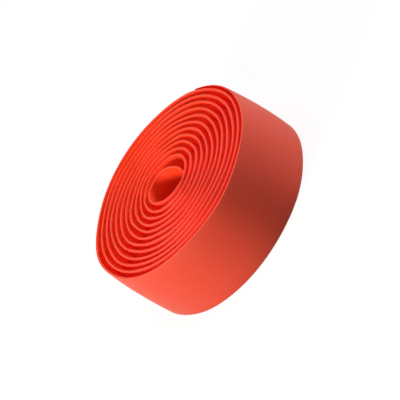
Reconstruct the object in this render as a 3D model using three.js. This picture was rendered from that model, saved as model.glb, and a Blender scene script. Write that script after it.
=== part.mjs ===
// Handlebar tape roll: one long strip of cushioned tape, wound on itself around an open loop.
// Units are millimetres and +Z is up. The roll stands on one edge of the tape, at z = 0.
// It is centred on the origin seen from above, and it is a single piece with no moving parts.

import * as THREE from 'three';

// Section of the tape: a flat outer face, and a back that swells from thin edges to full thickness.
const tapeWidth = 31;
const tapeThickness = 2.3;
const edgeThickness = 0.9;
const slopeWidth = 7;
const edgeRounding = 0.25;

// Winding, counter-clockwise and outwards seen from above. A mean gap lies between the turns.
const turnGap = 0.55;
const turnCount = 12.165;
const innerEndAngle = THREE.MathUtils.degToRad(-30);

// The open loop in the middle. The free end is tucked in, and the first turns bulge to one side.
const loopRadius = 8.4;
const tuckDepth = 1.95;
const tuckFadeTurns = 0.41;
const bulgeOffset = 1.96;
const bulgeAngle = THREE.MathUtils.degToRad(103);
const bulgeFadeTurns = 5.2;
const ovalDepth = 2.26;
const ovalAngle = THREE.MathUtils.degToRad(139);
const ovalFadeTurns = 0.32;

// The roll as a whole is slightly oval, and more so further out.
const outerOvalDepth = 0.5;
const outerOvalAngle = THREE.MathUtils.degToRad(145);

// The outer end is thinned to lie flat, and pressed towards the turn beneath it.
const endThickness = 0.6;
const endPress = 0.15;
const endThinTurns = 0.45;

// Fineness of the sweep
const stationsPerTurn = 36;

// Colour and finish of the foam
const tapeColour = 0xf0452f;
const tapeRoughness = 0.75;

const fullTurn = 2 * Math.PI;
const turnPitch = tapeThickness + turnGap;
const outerEndAngle = innerEndAngle + turnCount * fullTurn;

// A form of the inner turns that fades away over a number of turns further out.
function fade(angle, turns) {
  return Math.exp(-angle / (turns * fullTurn));
}

// How far the outer end's thinning has come at an angle along the tape, from 0 to 1.
function endShare(angle) {
  const turnsFromEnd = (outerEndAngle - angle) / fullTurn;
  return Math.max(0, 1 - turnsFromEnd / endThinTurns) ** 3;
}

// Distance from the winding's axis to the middle of the thin edge, at an angle along the tape.
function windingRadius(angle) {
  const steadyGrowth = loopRadius + turnPitch * angle / fullTurn;
  const tuck = tuckDepth * fade(angle, tuckFadeTurns);
  const bulge = bulgeOffset * fade(angle, bulgeFadeTurns) * Math.cos(angle - bulgeAngle);
  const oval = ovalDepth * fade(angle, ovalFadeTurns) * Math.cos(2 * (angle - ovalAngle));
  const shareOut = (angle / outerEndAngle) ** 2;
  const outerOval = outerOvalDepth * shareOut * Math.cos(2 * (angle - outerOvalAngle));
  return steadyGrowth - tuck + bulge + oval + outerOval - endPress * endShare(angle);
}

class WindingCurve extends THREE.Curve {
  angleAt(t) {
    return innerEndAngle + t * turnCount * fullTurn;
  }

  getPoint(t, target = new THREE.Vector2()) {
    const angle = this.angleAt(t);
    const radius = windingRadius(angle);
    return target.set(radius * Math.cos(angle), radius * Math.sin(angle));
  }
}

// The section as [outward, up] points, counter-clockwise seen against the direction of winding.
function tapeSection() {
  const outerFace = edgeThickness / 2;
  const thinBack = -edgeThickness / 2;
  const thickBack = outerFace - tapeThickness;
  const swollenBack = thinBack + (thickBack - thinBack) * Math.SQRT1_2;
  return [
    [outerFace - edgeRounding, 0],
    [outerFace, edgeRounding],
    [outerFace, tapeWidth - edgeRounding],
    [outerFace - edgeRounding, tapeWidth],
    [thinBack + edgeRounding, tapeWidth],
    [thinBack, tapeWidth - edgeRounding],
    [swollenBack, tapeWidth - slopeWidth / 2],
    [thickBack, tapeWidth - slopeWidth],
    [thickBack, slopeWidth],
    [swollenBack, slopeWidth / 2],
    [thinBack, edgeRounding],
    [thinBack + edgeRounding, 0],
  ];
}

// The section at an angle along the tape. Near the outer end its outer face sinks to its back.
function sectionAt(section, angle) {
  const back = edgeThickness / 2 - tapeThickness;
  const scale = 1 - (1 - endThickness / tapeThickness) * endShare(angle);
  return section.map(([outward, up]) => [back + (outward - back) * scale, up]);
}

// One closed body: the section carried along the winding square to it, with a cap at each end.
function sweepSection(section, curve, stations) {
  const positions = [];
  for (let station = 0; station <= stations; station += 1) {
    const t = station / stations;
    const centre = curve.getPoint(t);
    const tangent = curve.getTangent(t);
    for (const [outward, up] of sectionAt(section, curve.angleAt(t))) {
      positions.push(centre.x + outward * tangent.y, centre.y - outward * tangent.x, up);
    }
  }

  const count = section.length;
  const indices = [];
  for (let station = 0; station < stations; station += 1) {
    for (let corner = 0; corner < count; corner += 1) {
      const near = station * count + corner;
      const nearNext = station * count + (corner + 1) % count;
      const far = near + count;
      const farNext = nearNext + count;
      indices.push(near, far, nearNext, nearNext, far, farNext);
    }
  }

  const outline = section.map(([outward, up]) => new THREE.Vector2(outward, up));
  const lastRing = stations * count;
  for (const [a, b, c] of THREE.ShapeUtils.triangulateShape(outline, [])) {
    indices.push(a, b, c);
    indices.push(lastRing + a, lastRing + c, lastRing + b);
  }

  const geometry = new THREE.BufferGeometry();
  geometry.setAttribute('position', new THREE.Float32BufferAttribute(positions, 3));
  geometry.setIndex(indices);
  geometry.computeVertexNormals();
  return geometry;
}

// Moves a geometry so that its box is centred on the vertical axis.
function centreOnAxis(geometry) {
  geometry.computeBoundingBox();
  const middle = geometry.boundingBox.getCenter(new THREE.Vector3());
  return geometry.translate(-middle.x, -middle.y, 0);
}

function makeTape() {
  const stations = Math.round(turnCount * stationsPerTurn);
  const geometry = sweepSection(tapeSection(), new WindingCurve(), stations);
  const material = new THREE.MeshStandardMaterial({
    color: tapeColour,
    roughness: tapeRoughness,
    metalness: 0,
  });
  const tape = new THREE.Mesh(centreOnAxis(geometry), material);
  tape.name = 'tape';
  return tape;
}

const roll = new THREE.Group();
roll.name = 'handlebar_tape_roll';
roll.add(makeTape());

export default roll;
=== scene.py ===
"""Handlebar tape roll: the look of the foam tape, its studio and the photograph's camera. Metres, +Z up."""

import bpy
import math
import random

import numpy as np
from mathutils import Matrix, Vector


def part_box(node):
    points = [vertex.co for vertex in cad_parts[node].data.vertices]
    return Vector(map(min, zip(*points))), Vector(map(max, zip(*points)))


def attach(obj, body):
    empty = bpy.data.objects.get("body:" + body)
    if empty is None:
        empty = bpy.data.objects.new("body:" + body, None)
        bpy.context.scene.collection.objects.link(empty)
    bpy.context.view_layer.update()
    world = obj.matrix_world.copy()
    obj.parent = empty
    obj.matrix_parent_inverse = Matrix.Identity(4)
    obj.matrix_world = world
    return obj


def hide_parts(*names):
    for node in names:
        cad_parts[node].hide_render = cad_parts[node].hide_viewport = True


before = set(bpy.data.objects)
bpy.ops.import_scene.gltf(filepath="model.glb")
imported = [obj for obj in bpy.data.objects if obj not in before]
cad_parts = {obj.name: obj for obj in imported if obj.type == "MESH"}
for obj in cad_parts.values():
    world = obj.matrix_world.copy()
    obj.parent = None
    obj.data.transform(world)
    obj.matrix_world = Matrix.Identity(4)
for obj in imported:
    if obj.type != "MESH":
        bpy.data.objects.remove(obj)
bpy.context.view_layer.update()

MM = 0.001
TURN = 2 * math.pi

# The tape's section, as in the solid
cad_low, cad_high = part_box("tape")
TAPE_WIDTH = cad_high.z - cad_low.z
EDGE_THICKNESS = 0.9 * MM
SLOPE_WIDTH = 7 * MM
EDGE_ROUNDING = 0.25 * MM

# The winding, as in the solid
TURN_PITCH = 2.85 * MM
TURN_COUNT = 12.165
INNER_END_ANGLE = math.radians(-30)
OUTER_END_ANGLE = INNER_END_ANGLE + TURN_COUNT * TURN
LOOP_RADIUS = 8.4 * MM
TUCK_DEPTH, TUCK_FADE_TURNS = 1.95 * MM, 0.41
BULGE_OFFSET, BULGE_ANGLE, BULGE_FADE_TURNS = 1.96 * MM, math.radians(103), 5.2
OVAL_DEPTH, OVAL_ANGLE, OVAL_FADE_TURNS = 2.26 * MM, math.radians(139), 0.32
OUTER_OVAL_DEPTH, OUTER_OVAL_ANGLE = 0.5 * MM, math.radians(145)
END_THIN_TURNS = 0.45

# The outer end is thinner than the solid's, and pressed closer to the turn beneath it.
END_THICKNESS = 0.25 * MM
END_PRESS = 0.45 * MM

# Soft foam swells against the turn beneath, to within a small gap. Its first turns have the plain thickness.
TAPE_THICKNESS = 2.4 * MM
THINNEST, THICKEST = 2.2 * MM, 2.9 * MM
SWOLLEN_GAP = 0.15 * MM

# Unevenness of soft foam wound by hand. The tape bows outwards along its middle.
BOW_DEPTH = 0.5 * MM
WANDER_DEPTH = 0.03 * MM
LEAN_DEPTH = 0.16 * MM
EDGE_STEP_DEPTH = 0.16 * MM
EDGE_SWELL = 0.06

# Near the outer end, the outer turns lean out towards their lower edge, over 60 degrees to each side.
FLARE_DEPTH = 1.0 * MM
FLARE_ANGLE = math.radians(15)
FLARE_NARROWNESS = 1.5

# Fineness of the mesh
STATIONS_PER_TURN = 120
CORNER_STEPS = 5
SLOPE_STEPS = 6
FACE_STEPS = 8
END_STEPS = 4
SHARP_ANGLE = math.radians(50)

# Photograph
PHOTO_SIZE = 400
PHOTO_PIXELS_PER_METRE = 2631
PHOTO_AIM_PIXEL = (198.6, 200.2)
CAMERA_ELEVATION = math.radians(28.8)
CAMERA_ROLL = math.radians(58.6)
CAMERA_DISTANCE = 2.6
CLIP_START, CLIP_END = 0.1, 20
SENSOR_WIDTH = 36

# Colours, linear. The outside's paler colour is a painted veil of light on the outermost turn.
OUTSIDE_PAINTED_VEIL_COLOUR = (0.95, 0.068, 0.029)
FACE_COLOUR = (0.95, 0.044, 0.024)
# The back's purer red is painted red bounce light, between the turns and in the hole.
BACK_PAINTED_BOUNCE_COLOUR = (0.98, 0.047, 0.010)
# The paler cut colour is a painted highlight on both edges of the tape.
CUT_PAINTED_HIGHLIGHT_COLOUR = (0.98, 0.090, 0.050)

# Finish of the foam, with its patterns' scales in waves or cells per metre
CLOUD_SCALE, GRAIN_SCALE, CELL_SCALE = 60, 2200, 3200
PATTERN_DETAIL = 3
MOTTLE = 0.015
SMOOTHEST, ROUGHEST = 0.55, 0.72
FACE_SPECULAR, BACK_SPECULAR = 0.4, 0.12
OUTSIDE_SHEEN, SHEEN_ROUGHNESS = 0.3, 0.5
SHEEN_TINT = (1, 0.88, 0.75)
BUMP_STRENGTH, BUMP_HEIGHT = 0.25, 0.08 * MM

# The painted highlight on the tape's edges, and the cells' grain there, are full over this height and fade
# away where the edge's rounding ends.
CUT_FULL_HEIGHT = 0.3 * EDGE_ROUNDING

# Places of the three copies of the foam among the mesh's materials: plain, with painted bounce red on the
# back, and with a painted veil on the outside
ON_FACE, ON_BACK, ON_OUTSIDE = 0, 1, 2

# The outside's copy of the foam, with its painted veil, starts this part of a turn beneath the outer end.
OUTSIDE_OVERLAP = 0.01

# Studio. Red light bounces many times between the turns before it dies away.
LIGHT_BOUNCES = 32
WHITE = (1, 1, 1)
LAMP_DISTANCE = 1.2
WORLD_FILL = 0.05
FLOOR_REACH = 3.0
FLOOR_GLOW = 0.9
FLOOR_BOUNCE_COLOUR = (0.12, 0.12, 0.12)

random.seed(11)


def smooth_noise(waves, lowest, highest):
    """A function of the winding angle, made of sine waves of seeded pitch and phase, from about -1 to 1."""
    parts = []
    for _ in range(waves):
        parts.append((random.uniform(lowest, highest), random.uniform(0, TURN)))
    scale = 1 / math.sqrt(waves)

    def noise(angle):
        return scale * sum(np.sin(pitch * angle + phase) for pitch, phase in parts)
    return noise


def fade(angle, turns):
    """Strength of a form of the inner turns, which fades away over a number of turns further out."""
    return np.exp(-angle / (turns * TURN))


def end_share(angle):
    """How far the thinning of the outer end has come, from 0 to 1."""
    turns_from_end = (OUTER_END_ANGLE - angle) / TURN
    return np.clip(1 - turns_from_end / END_THIN_TURNS, 0, None) ** 3


def winding_radius(angle):
    """Distance from the winding's axis to the middle of the thin edge."""
    steady = LOOP_RADIUS + TURN_PITCH * angle / TURN
    tuck = TUCK_DEPTH * fade(angle, TUCK_FADE_TURNS)
    bulge = BULGE_OFFSET * fade(angle, BULGE_FADE_TURNS) * np.cos(angle - BULGE_ANGLE)
    oval = OVAL_DEPTH * fade(angle, OVAL_FADE_TURNS) * np.cos(2 * (angle - OVAL_ANGLE))
    share_out = (angle / OUTER_END_ANGLE) ** 2
    outer_oval = OUTER_OVAL_DEPTH * share_out * np.cos(2 * (angle - OUTER_OVAL_ANGLE))
    return steady - tuck + bulge + oval + outer_oval - END_PRESS * end_share(angle)


def winding_points(angle):
    """Points on the winding, seen from above."""
    radius = winding_radius(angle)
    return np.stack([radius * np.cos(angle), radius * np.sin(angle)], axis=-1)


def swollen_thickness(angle):
    """The tape's full thickness: what the turn beneath leaves room for, once there is one."""
    room = winding_radius(angle) - winding_radius(angle - TURN) - SWOLLEN_GAP
    second_turn = np.clip((angle - INNER_END_ANGLE) / (0.5 * TURN) - 2, 0, 1)
    return TAPE_THICKNESS + (np.clip(room, THINNEST, THICKEST) - TAPE_THICKNESS) * second_turn


def arc(centre, radius, start, end, steps):
    """Points of a round corner as (outward, up), from a start angle to an end angle in degrees."""
    points = []
    for step in range(steps + 1):
        a = math.radians(start + (end - start) * step / steps)
        points.append((centre[0] + radius * math.cos(a), centre[1] + radius * math.sin(a)))
    return points


def tape_section():
    """The section from the lower outer corner up the outer face, over the upper edge and down the back."""
    outer = EDGE_THICKNESS / 2
    thin = -EDGE_THICKNESS / 2
    thick = outer - TAPE_THICKNESS
    r = EDGE_ROUNDING

    slope = []
    for step in range(1, SLOPE_STEPS + 1):
        share = step / SLOPE_STEPS
        eased = math.sin(share * math.pi / 2)
        slope.append((thin + (thick - thin) * eased, (SLOPE_WIDTH - r) * share))
    thick_width = TAPE_WIDTH - 2 * SLOPE_WIDTH
    back_steps = FACE_STEPS // 2

    points = arc((outer - r, r), r, -90, 0, CORNER_STEPS)
    for step in range(1, FACE_STEPS):
        points.append((outer, r + (TAPE_WIDTH - 2 * r) * step / FACE_STEPS))
    points += arc((outer - r, TAPE_WIDTH - r), r, 0, 90, CORNER_STEPS)
    points += arc((thin + r, TAPE_WIDTH - r), r, 90, 180, CORNER_STEPS)
    points += [(out, TAPE_WIDTH - r - inwards) for out, inwards in slope]
    for step in range(1, back_steps):
        points.append((thick, TAPE_WIDTH - SLOPE_WIDTH - thick_width * step / back_steps))
    points += [(out, r + inwards) for out, inwards in reversed(slope)]
    points += arc((thin + r, r), r, 180, 270, CORNER_STEPS)
    return np.array(points)


def stations():
    """Angles along the winding, and how far the section draws in at each, to round the tape's two ends."""
    count = round(TURN_COUNT * STATIONS_PER_TURN)
    angles = INNER_END_ANGLE + np.linspace(0, TURN_COUNT * TURN, count + 1)

    # The stations nearest to each end draw in by a quarter circle.
    quarter = np.linspace(0, math.pi / 2, END_STEPS + 1)
    before_end = 1 - np.sin(quarter)
    drawn_in = EDGE_ROUNDING * (1 - np.cos(quarter))
    start_angles = angles[0] + EDGE_ROUNDING / winding_radius(angles[0]) * before_end[::-1]
    end_angles = angles[-1] - EDGE_ROUNDING / winding_radius(angles[-1]) * before_end
    between = angles[(angles > start_angles[-1]) & (angles < end_angles[0])]
    angles = np.concatenate([start_angles, between, end_angles])
    inset = np.concatenate([drawn_in[::-1], np.zeros(len(between)), drawn_in])
    return angles, inset


def tape_vertices(section, angles, inset):
    """The tape's points: at each station along the winding, a ring of the section's points square to it."""
    nudge = 1e-4
    centre = winding_points(angles)
    tangent = winding_points(angles + nudge) - winding_points(angles - nudge)
    tangent /= np.linalg.norm(tangent, axis=1, keepdims=True)
    outward_dir = np.stack([tangent[:, 1], -tangent[:, 0]], axis=-1)

    # Forms along the tape
    wander = WANDER_DEPTH * smooth_noise(waves=5, lowest=1.3, highest=5.7)(angles)
    lean_top = LEAN_DEPTH * smooth_noise(waves=7, lowest=1.1, highest=9.0)(angles)
    lean_bottom = LEAN_DEPTH * smooth_noise(waves=7, lowest=1.1, highest=9.0)(angles)
    step_top = EDGE_STEP_DEPTH * (smooth_noise(waves=6, lowest=0.4, highest=6.0)(angles) - 1)
    step_bottom = EDGE_STEP_DEPTH * (1 - smooth_noise(waves=6, lowest=0.4, highest=6.0)(angles))
    swell = 1 + EDGE_SWELL * smooth_noise(waves=6, lowest=2.0, highest=14.0)(angles)
    from_flare = (angles - FLARE_ANGLE + TURN / 2) % TURN - TURN / 2
    flare_along = np.clip(np.cos(FLARE_NARROWNESS * from_flare), 0, None) ** 2
    flare = FLARE_DEPTH * flare_along * (angles / OUTER_END_ANGLE) ** 2
    thickness = swollen_thickness(angles)
    slope_scale = (thickness - EDGE_THICKNESS) / (TAPE_THICKNESS - EDGE_THICKNESS)
    end_scale = 1 - (1 - END_THICKNESS / thickness) * end_share(angles)

    # Forms across the tape
    thin = -EDGE_THICKNESS / 2
    middle_out = (section[:, 0].max() + section[:, 0].min()) / 2
    up = section[:, 1]
    bow = BOW_DEPTH * (1 - (2 * up / TAPE_WIDTH - 1) ** 2)
    flare_share = 1 - (up / TAPE_WIDTH) ** 2
    top_share = np.clip((up / TAPE_WIDTH - 0.5) * 2, 0, 1) ** 3
    bottom_share = np.clip((0.5 - up / TAPE_WIDTH) * 2, 0, 1) ** 3
    edge_share = np.maximum(top_share, bottom_share)

    rings = []
    for i in range(len(angles)):
        out = section[:, 0]
        out = np.where(out < thin, thin + (out - thin) * slope_scale[i], out)
        back = out.min()
        out = out + np.clip(middle_out - out, -inset[i], inset[i])
        out = out * (1 + (swell[i] - 1) * edge_share)
        out = back + (out - back) * end_scale[i]
        out = out + bow + wander[i] + flare[i] * flare_share
        out = out + lean_top[i] * top_share + lean_bottom[i] * bottom_share
        high = up + np.clip(TAPE_WIDTH / 2 - up, -inset[i], inset[i])
        high = high + np.minimum(step_top[i], 0) * top_share + np.maximum(step_bottom[i], 0) * bottom_share
        seen_from_above = centre[i] + out[:, None] * outward_dir[i]
        rings.append(np.column_stack([seen_from_above, cad_low.z + high]))
    vertices = np.concatenate(rings)

    # Centred as the solid is, by the even winding without its bow and flare
    outer_face = EDGE_THICKNESS / 2 - thickness * (1 - end_scale)
    rim = centre + outward_dir * outer_face[:, None]
    rim_middle = (rim.min(axis=0) + rim.max(axis=0)) / 2
    vertices[:, 0] += (cad_low.x + cad_high.x) / 2 - rim_middle[0]
    vertices[:, 1] += (cad_low.y + cad_high.y) / 2 - rim_middle[1]
    return vertices


def tape_faces(section, angles):
    """Faces between the rings and over both ends, and the place of each face's foam."""
    count = len(section)
    faces = []
    places = []
    for i in range(len(angles) - 1):
        outermost = angles[i] > angles[-1] - (1 + OUTSIDE_OVERLAP) * TURN
        for corner in range(count):
            beside = (corner + 1) % count
            near = i * count + corner
            near_next = i * count + beside
            faces.append((near, near + count, near_next + count, near_next))
            if section[corner, 0] < 0 or section[beside, 0] < 0:
                places.append(ON_BACK)
            else:
                places.append(ON_OUTSIDE if outermost else ON_FACE)
    faces.append(tuple(range(count)))
    last = (len(angles) - 1) * count
    faces.append(tuple(last + corner for corner in reversed(range(count))))
    places += [ON_FACE, ON_FACE]
    return faces, places


def build_tape(foams):
    """The whole tape as one closed mesh, with its foams in the order of their places."""
    section = tape_section()
    angles, inset = stations()
    vertices = tape_vertices(section, angles, inset)
    faces, places = tape_faces(section, angles)

    mesh = bpy.data.meshes.new("foam_tape")
    mesh.from_pydata(vertices.tolist(), [], faces)
    for foam in foams:
        mesh.materials.append(foam)
    mesh.polygons.foreach_set("material_index", places)
    mesh.polygons.foreach_set("use_smooth", [True] * len(mesh.polygons))
    mesh.set_sharp_from_angle(angle=SHARP_ANGLE)

    # The materials look up how near a point is to the cut edges, for the painted highlight and the cells
    # there.
    up = section[:, 1]
    near_edge = np.minimum(up, TAPE_WIDTH - up)
    fading_height = EDGE_ROUNDING - CUT_FULL_HEIGHT
    cut_share = np.clip(1 - (near_edge - CUT_FULL_HEIGHT) / fading_height, 0, 1)
    attribute = mesh.attributes.new("cut_edge", "FLOAT", "POINT")
    attribute.data.foreach_set("value", np.tile(cut_share, len(angles)).astype(np.float32))

    tape = bpy.data.objects.new("foam_tape", mesh)
    bpy.context.collection.objects.link(tape)
    return tape


def foam_material(name, colour, specular, sheen):
    """Closed-cell foam: fine grain in colour and height, open cells at the cut along both edges, and a
    painted highlight there in a paler colour.
    """
    material = bpy.data.materials.new(name)
    material.use_nodes = True
    nodes, links = material.node_tree.nodes, material.node_tree.links
    shader = nodes["Principled BSDF"]
    coords = nodes.new("ShaderNodeTexCoord")

    cloud = nodes.new("ShaderNodeTexNoise")
    cloud.inputs["Scale"].default_value = CLOUD_SCALE
    cloud.inputs["Detail"].default_value = PATTERN_DETAIL
    grain = nodes.new("ShaderNodeTexNoise")
    grain.inputs["Scale"].default_value = GRAIN_SCALE
    grain.inputs["Detail"].default_value = PATTERN_DETAIL
    cells = nodes.new("ShaderNodeTexVoronoi")
    cells.inputs["Scale"].default_value = CELL_SCALE
    for texture in (cloud, grain, cells):
        links.new(coords.outputs["Object"], texture.inputs["Vector"])

    cut_edge = nodes.new("ShaderNodeAttribute")
    cut_edge.attribute_name = "cut_edge"

    def ranged(source, low, high, target):
        """Link a value from 0 to 1 to a socket, stretched to run from low to high."""
        node = nodes.new("ShaderNodeMapRange")
        node.inputs["To Min"].default_value = low
        node.inputs["To Max"].default_value = high
        links.new(source, node.inputs["Value"])
        links.new(node.outputs["Result"], target)

    # The edges get a painted highlight: a paler colour mixed in where the cut is.
    cut = nodes.new("ShaderNodeMix")
    cut.data_type = "RGBA"
    cut.inputs["A"].default_value = (*colour, 1)
    cut.inputs["B"].default_value = (*CUT_PAINTED_HIGHLIGHT_COLOUR, 1)
    links.new(cut_edge.outputs["Fac"], cut.inputs["Factor"])

    tint = nodes.new("ShaderNodeHueSaturation")
    ranged(cloud.outputs["Fac"], 1 - MOTTLE, 1 + MOTTLE, tint.inputs["Saturation"])
    links.new(cut.outputs["Result"], tint.inputs["Color"])
    links.new(tint.outputs["Color"], shader.inputs["Base Color"])
    ranged(grain.outputs["Fac"], SMOOTHEST, ROUGHEST, shader.inputs["Roughness"])
    shader.inputs["Specular IOR Level"].default_value = specular
    shader.inputs["Sheen Weight"].default_value = sheen
    shader.inputs["Sheen Roughness"].default_value = SHEEN_ROUGHNESS
    shader.inputs["Sheen Tint"].default_value = (*SHEEN_TINT, 1)

    height = nodes.new("ShaderNodeMix")
    height.data_type = "FLOAT"
    links.new(cut_edge.outputs["Fac"], height.inputs["Factor"])
    links.new(grain.outputs["Fac"], height.inputs["A"])
    links.new(cells.outputs["Distance"], height.inputs["B"])
    bump = nodes.new("ShaderNodeBump")
    bump.inputs["Strength"].default_value = BUMP_STRENGTH
    bump.inputs["Distance"].default_value = BUMP_HEIGHT
    links.new(height.outputs["Result"], bump.inputs["Height"])
    links.new(bump.outputs["Normal"], shader.inputs["Normal"])
    return material


def studio_floor():
    """A pale floor: white to the camera, with the roll's shadow kept, and grey to the light it bounces."""
    reach = FLOOR_REACH
    mesh = bpy.data.meshes.new("floor")
    corners = [(-reach, -reach, 0), (reach, -reach, 0), (reach, reach, 0), (-reach, reach, 0)]
    mesh.from_pydata(corners, [], [(0, 1, 2, 3)])
    floor = bpy.data.objects.new("floor", mesh)
    bpy.context.collection.objects.link(floor)

    material = bpy.data.materials.new("floor")
    material.use_nodes = True
    nodes, links = material.node_tree.nodes, material.node_tree.links
    nodes.clear()
    output = nodes.new("ShaderNodeOutputMaterial")
    diffuse = nodes.new("ShaderNodeBsdfDiffuse")
    diffuse.inputs["Color"].default_value = (*FLOOR_BOUNCE_COLOUR, 1)
    glow = nodes.new("ShaderNodeEmission")
    glow.inputs["Strength"].default_value = FLOOR_GLOW
    both = nodes.new("ShaderNodeAddShader")
    pick = nodes.new("ShaderNodeMixShader")
    path = nodes.new("ShaderNodeLightPath")
    seen = nodes.new("ShaderNodeMath")
    seen.operation = "MAXIMUM"
    links.new(path.outputs["Is Camera Ray"], seen.inputs[0])
    links.new(path.outputs["Is Glossy Ray"], seen.inputs[1])
    links.new(diffuse.outputs["BSDF"], both.inputs[0])
    links.new(glow.outputs["Emission"], both.inputs[1])
    links.new(seen.outputs["Value"], pick.inputs["Fac"])
    links.new(diffuse.outputs["BSDF"], pick.inputs[1])
    links.new(both.outputs["Shader"], pick.inputs[2])
    links.new(pick.outputs["Shader"], output.inputs["Surface"])
    mesh.materials.append(material)


def studio_world():
    """A dim even fill on the object, and plain white where the camera sees past the floor."""
    world = bpy.data.worlds.new("studio")
    bpy.context.scene.world = world
    world.use_nodes = True
    nodes, links = world.node_tree.nodes, world.node_tree.links
    background = nodes["Background"]
    background.inputs["Color"].default_value = (*WHITE, 1)
    path = nodes.new("ShaderNodeLightPath")
    strength = nodes.new("ShaderNodeMapRange")
    strength.inputs["To Min"].default_value = WORLD_FILL
    strength.inputs["To Max"].default_value = 1
    links.new(path.outputs["Is Camera Ray"], strength.inputs["Value"])
    links.new(strength.outputs["Result"], background.inputs["Strength"])


def area_light(name, azimuth, elevation, size, power, colour):
    """A square lamp that faces the roll. Azimuth is counter-clockwise from +X seen from above."""
    lamp = bpy.data.lights.new(name, "AREA")
    lamp.size = size
    lamp.energy = power
    lamp.color = colour
    lamp_object = bpy.data.objects.new(name, lamp)
    a, e = math.radians(azimuth), math.radians(elevation)
    direction = Vector((math.cos(a) * math.cos(e), math.sin(a) * math.cos(e), math.sin(e)))
    target = Vector((0, 0, TAPE_WIDTH / 2))
    lamp_object.location = target + direction * LAMP_DISTANCE
    lamp_object.rotation_euler = direction.to_track_quat("Z", "Y").to_euler()
    bpy.context.collection.objects.link(lamp_object)


def photo_camera():
    """A very long lens at the photograph's angle, rolled as the photograph is."""
    camera = bpy.data.cameras.new("camera")
    camera.sensor_width = SENSOR_WIDTH
    frame_width = PHOTO_SIZE / PHOTO_PIXELS_PER_METRE
    camera.lens = SENSOR_WIDTH * CAMERA_DISTANCE / frame_width
    camera.clip_start = CLIP_START
    camera.clip_end = CLIP_END
    camera.shift_x = (PHOTO_SIZE / 2 - PHOTO_AIM_PIXEL[0]) / PHOTO_SIZE
    camera.shift_y = (PHOTO_AIM_PIXEL[1] - PHOTO_SIZE / 2) / PHOTO_SIZE
    camera_object = bpy.data.objects.new("camera", camera)
    back = Vector((0, -math.cos(CAMERA_ELEVATION), math.sin(CAMERA_ELEVATION)))
    aim = Vector((0, 0, TAPE_WIDTH / 2))
    facing = back.to_track_quat("Z", "Y").to_matrix().to_4x4()
    roll = Matrix.Rotation(-CAMERA_ROLL, 4, "Z")
    camera_object.matrix_world = Matrix.Translation(aim + back * CAMERA_DISTANCE) @ facing @ roll
    bpy.context.collection.objects.link(camera_object)
    bpy.context.scene.camera = camera_object


photo_camera()
tape = build_tape([
    foam_material("foam_face", FACE_COLOUR, FACE_SPECULAR, sheen=0),
    # The back's foam, with a purer red painted for the light bouncing between the turns
    foam_material("foam_back_painted_bounce", BACK_PAINTED_BOUNCE_COLOUR, BACK_SPECULAR, sheen=0),
    # The outermost turn's foam, its paler colour painted as a veil of light
    foam_material("foam_outside_painted_veil", OUTSIDE_PAINTED_VEIL_COLOUR, FACE_SPECULAR, OUTSIDE_SHEEN),
])
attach(tape, "root")
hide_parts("tape")

studio_floor()
studio_world()
area_light("key", azimuth=-160, elevation=18, size=0.35, power=13, colour=(1, 0.98, 0.84))
area_light("side", azimuth=4, elevation=9, size=0.25, power=8.5, colour=(1, 0.97, 0.92))
area_light("back", azimuth=112, elevation=10, size=0.4, power=2.5, colour=WHITE)
area_light("top", azimuth=-90, elevation=86, size=0.9, power=8.3, colour=WHITE)

bpy.context.scene.view_settings.view_transform = "Standard"
bpy.context.scene.cycles.max_bounces = LIGHT_BOUNCES
bpy.context.scene.cycles.diffuse_bounces = LIGHT_BOUNCES
